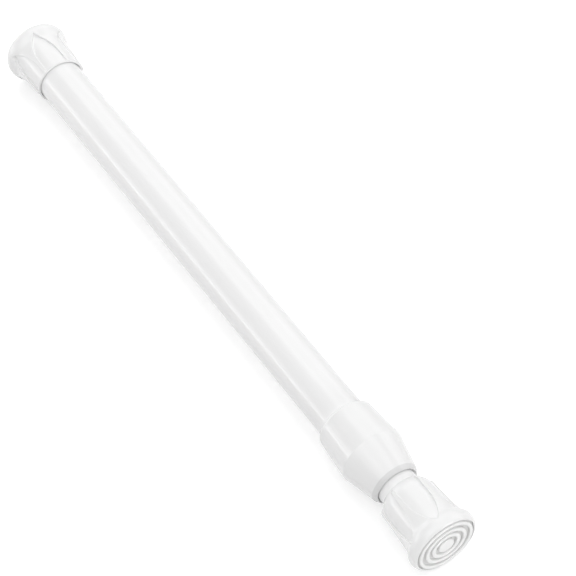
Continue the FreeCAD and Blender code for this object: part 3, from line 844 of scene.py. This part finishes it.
def floor_under(height, size=4.0):
    """Pale floor that keeps the rod's shadow. Its glow is only on the rays that show the background."""
    mesh = bpy.data.meshes.new("floor")
    work = bmesh.new()
    bmesh.ops.create_grid(work, x_segments=1, y_segments=1, size=size / 2,
                          matrix=Matrix.Translation((cad_high.x / 2, 0, height)))
    work.to_mesh(mesh)
    work.free()
    floor = bpy.data.objects.new("floor", mesh)
    bpy.context.scene.collection.objects.link(floor)
    material = bpy.data.materials.new("pale floor")
    material.use_nodes = True
    nodes, links = material.node_tree.nodes, material.node_tree.links
    nodes.clear()
    diffuse = nodes.new("ShaderNodeBsdfDiffuse")
    diffuse.inputs["Color"].default_value = (FLOOR_COLOUR, FLOOR_COLOUR, FLOOR_COLOUR, 1)
    glow = nodes.new("ShaderNodeEmission")
    seen = nodes.new("ShaderNodeMath")
    seen.operation = "MULTIPLY"
    seen.inputs[1].default_value = FLOOR_LIFT
    links.new(background_rays(material.node_tree), seen.inputs[0])
    links.new(seen.outputs[0], glow.inputs["Strength"])
    both = nodes.new("ShaderNodeAddShader")
    links.new(diffuse.outputs[0], both.inputs[0])
    links.new(glow.outputs[0], both.inputs[1])
    links.new(both.outputs[0], nodes.new("ShaderNodeOutputMaterial").inputs[0])
    mesh.materials.append(material)


def soft_box(name, towards, distance, size, radiance, target):
    """Soft box that faces the target from a direction. Radiance 1 shows as white."""
    data = bpy.data.lights.new(name, "AREA")
    data.shape, data.size, data.size_y = "RECTANGLE", *size
    data.energy = radiance * math.pi * size[0] * size[1]
    lamp = bpy.data.objects.new(name, data)
    across = towards.cross(Vector((1, 0, 0)) if abs(towards.x) < 0.5 else Vector((0, 0, 1))).normalized()
    turn = Matrix((across.cross(towards), across, towards)).transposed().to_4x4()
    lamp.matrix_world = Matrix.Translation(target + towards * distance) @ turn
    bpy.context.scene.collection.objects.link(lamp)


def strip_light(angle, radiance, spread, along_rod, distance=0.9, length=1.1):
    """Long soft box beside the rod, at an angle round it from +Y to +Z."""
    a = math.radians(angle)
    width = 2 * distance * math.tan(math.radians(spread / 2))
    soft_box("strip", Vector((0, math.cos(a), math.sin(a))), distance, (length, width), radiance,
             Vector((along_rod, 0, 0)))


def end_light(side, lift, radiance, distance=1.2, size=0.5):
    """Square soft box beyond the moving end, tipped off the rod's line towards an angle round it."""
    s, l = math.radians(side), math.radians(lift)
    towards = Vector((math.cos(l), math.sin(l) * math.cos(s), math.sin(l) * math.sin(s)))
    soft_box("end light", towards, distance, (size, size), radiance, Vector((ROD_LENGTH * MM, 0, 0)))


def fixed_end_light(side, radiance, lift=0.18, distance=1.2, size=0.6):
    """Square soft box beyond the fixed end, to one side of the rod's line."""
    towards = Vector((-1, side, lift)).normalized()
    soft_box("fixed end light", towards, distance, (size, size), radiance, Vector((0.1, 0, 0)))


FLOOR_COLOUR = 0.8
FLOOR_LIFT = 0.4            # glow on the rays that show the background, which keeps the floor white
SURROUND = 0.15
# (angle round the rod, radiance) of the strips beside its fixed half and beyond its moving end
BACK_STRIPS = [(10, 0.29), (20, 0.55), (30, 1.05), (40, 1.5), (50, 1.22), (60, 1.2), (70, 1.33),
               (80, 1.68), (90, 1.65), (100, 0.39), (160, 0.84), (170, 2.04), (180, 4.33)]
FRONT_STRIPS = [(20, 0.69), (40, 1.2), (80, 1.4), (100, 1.04), (120, 1.86), (140, 1.15)]
# (angle round the rod, lift off its line, radiance) of the lights beyond the moving end
END_LIGHTS = [(30, 25, 3.32), (180, 8, 1.48)]
PAD_LIGHT, PAD_LIGHT_SIZE = 22, 0.2
# (side, radiance) of the lights beyond the fixed end
FIXED_END_LIGHTS = [(-0.29, 1.15)]

FLOOR_HEIGHT = -11.53
BACK_SPREAD, BACK_PLACE = 10, -0.65
FRONT_SPREAD, FRONT_PLACE = 20, 0.45

camera_at((0.499853, -0.212006, 0.514378), azimuth=57.53, elevation=50.60, roll=-0.95, lens=128.85)
floor_under(FLOOR_HEIGHT * MM)
for angle, radiance in BACK_STRIPS:
    strip_light(angle, radiance, BACK_SPREAD, BACK_PLACE)
for angle, radiance in FRONT_STRIPS:
    strip_light(angle, radiance, FRONT_SPREAD, FRONT_PLACE)
for side, lift, radiance in END_LIGHTS:
    end_light(side, lift, radiance)
end_light(90, 0, PAD_LIGHT, size=PAD_LIGHT_SIZE)
for side, radiance in FIXED_END_LIGHTS:
    fixed_end_light(side, radiance)

world = bpy.data.worlds.new("studio")
bpy.context.scene.world = world
world.use_nodes = True
background = world.node_tree.nodes["Background"]
background.inputs["Color"].default_value = (1, 1, 1, 1)
level = world.node_tree.nodes.new("ShaderNodeMix")
level.data_type = "FLOAT"
world.node_tree.links.new(background_rays(world.node_tree), level.inputs[0])
level.inputs[2].default_value = SURROUND
level.inputs[3].default_value = 1.0
world.node_tree.links.new(level.outputs[0], background.inputs["Strength"])
bpy.context.scene.view_settings.view_transform = "Standard"
